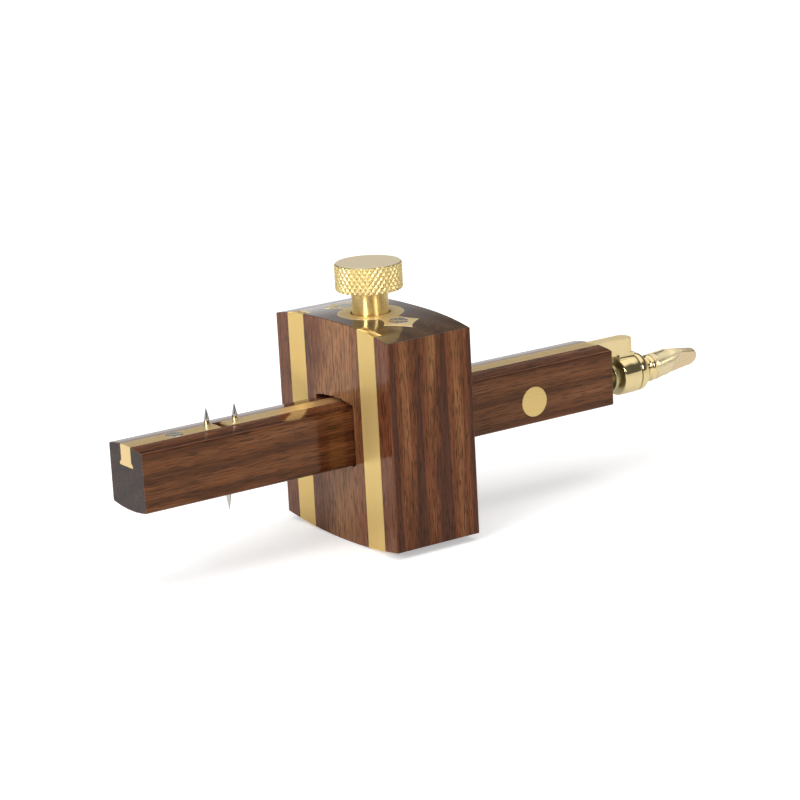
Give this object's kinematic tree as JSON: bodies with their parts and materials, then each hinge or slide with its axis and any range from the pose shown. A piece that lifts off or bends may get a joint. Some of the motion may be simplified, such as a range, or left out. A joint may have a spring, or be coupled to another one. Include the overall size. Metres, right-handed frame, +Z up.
{
  "type": "mortise gauge",
  "caption": "Hardwood mortise gauge with brass trim: a stem slides through a stock, a thumbscrew locks it, and a turned screw draws the moving scribing pin.",
  "frame": {"origin": "on the floor plane under the middle of the whole tool's box, at the height of the stock's lowest point", "axes": "+X along the stem from the pins towards the finger turn, +Y across the stem, +Z up through the thumbscrew"},
  "size_m": [0.2438, 0.0696, 0.0959],
  "materials": {
    "rosewood": "varnished, glossy",
    "polished_brass": "polished",
    "bright_steel": "bright"
  },
  "bodies": {
    "stem": {"stem": "rosewood", "fixed_strip": "polished_brass", "fixed_strip_screw": "bright_steel", "fixed_pin": "bright_steel", "marking_pin": "bright_steel", "barrel_nut": "polished_brass"},
    "slide": {"slide_bar": "polished_brass", "slide_eye": "polished_brass", "moving_pin": "bright_steel"},
    "turn_screw": {"adjusting_screw": "polished_brass", "finger_turn": "polished_brass", "thrust_collar": "polished_brass", "collar_pin": "bright_steel"},
    "stock": {"stock": "rosewood", "near_face_strip": "polished_brass", "far_face_strip": "polished_brass", "escutcheon": "polished_brass", "near_plate_screw": "bright_steel", "far_plate_screw": "bright_steel", "threaded_bush": "polished_brass"},
    "lock_shoe": {"pressure_shoe": "polished_brass"},
    "thumbscrew": {"thumbscrew": "polished_brass"}
  },
  "joints": [
    {"name": "stock_slide", "type": "slide", "parent": "stem", "child": "stock", "axis": [1, 0, 0], "range_m": [-0.026, 0.079]},
    {"name": "slide_travel", "type": "slide", "parent": "stem", "child": "slide", "axis": [1, 0, 0], "range_m": [-0.003, 0.012]},
    {"name": "screw_turn", "type": "hinge", "parent": "slide", "child": "turn_screw", "pos_m": [0.0729, 0, 0.036], "axis": [1, 0, 0], "range_deg": [-1351, 5401]},
    {"name": "shoe_lift", "type": "slide", "parent": "stock", "child": "lock_shoe", "axis": [0, 0, 1], "range_m": [0, 0.0025]},
    {"name": "thumb_turn", "type": "hinge", "parent": "lock_shoe", "child": "thumbscrew", "pos_m": [-0.023, 0, 0.069], "axis": [0, 0, 1], "range_deg": [-1, 721]}
  ],
  "couplings": [
    {"joint": "screw_turn", "follows": "slide_travel", "rad_per_m": 7854},
    {"joint": "thumb_turn", "follows": "shoe_lift", "rad_per_m": 5026.5}
  ]
}
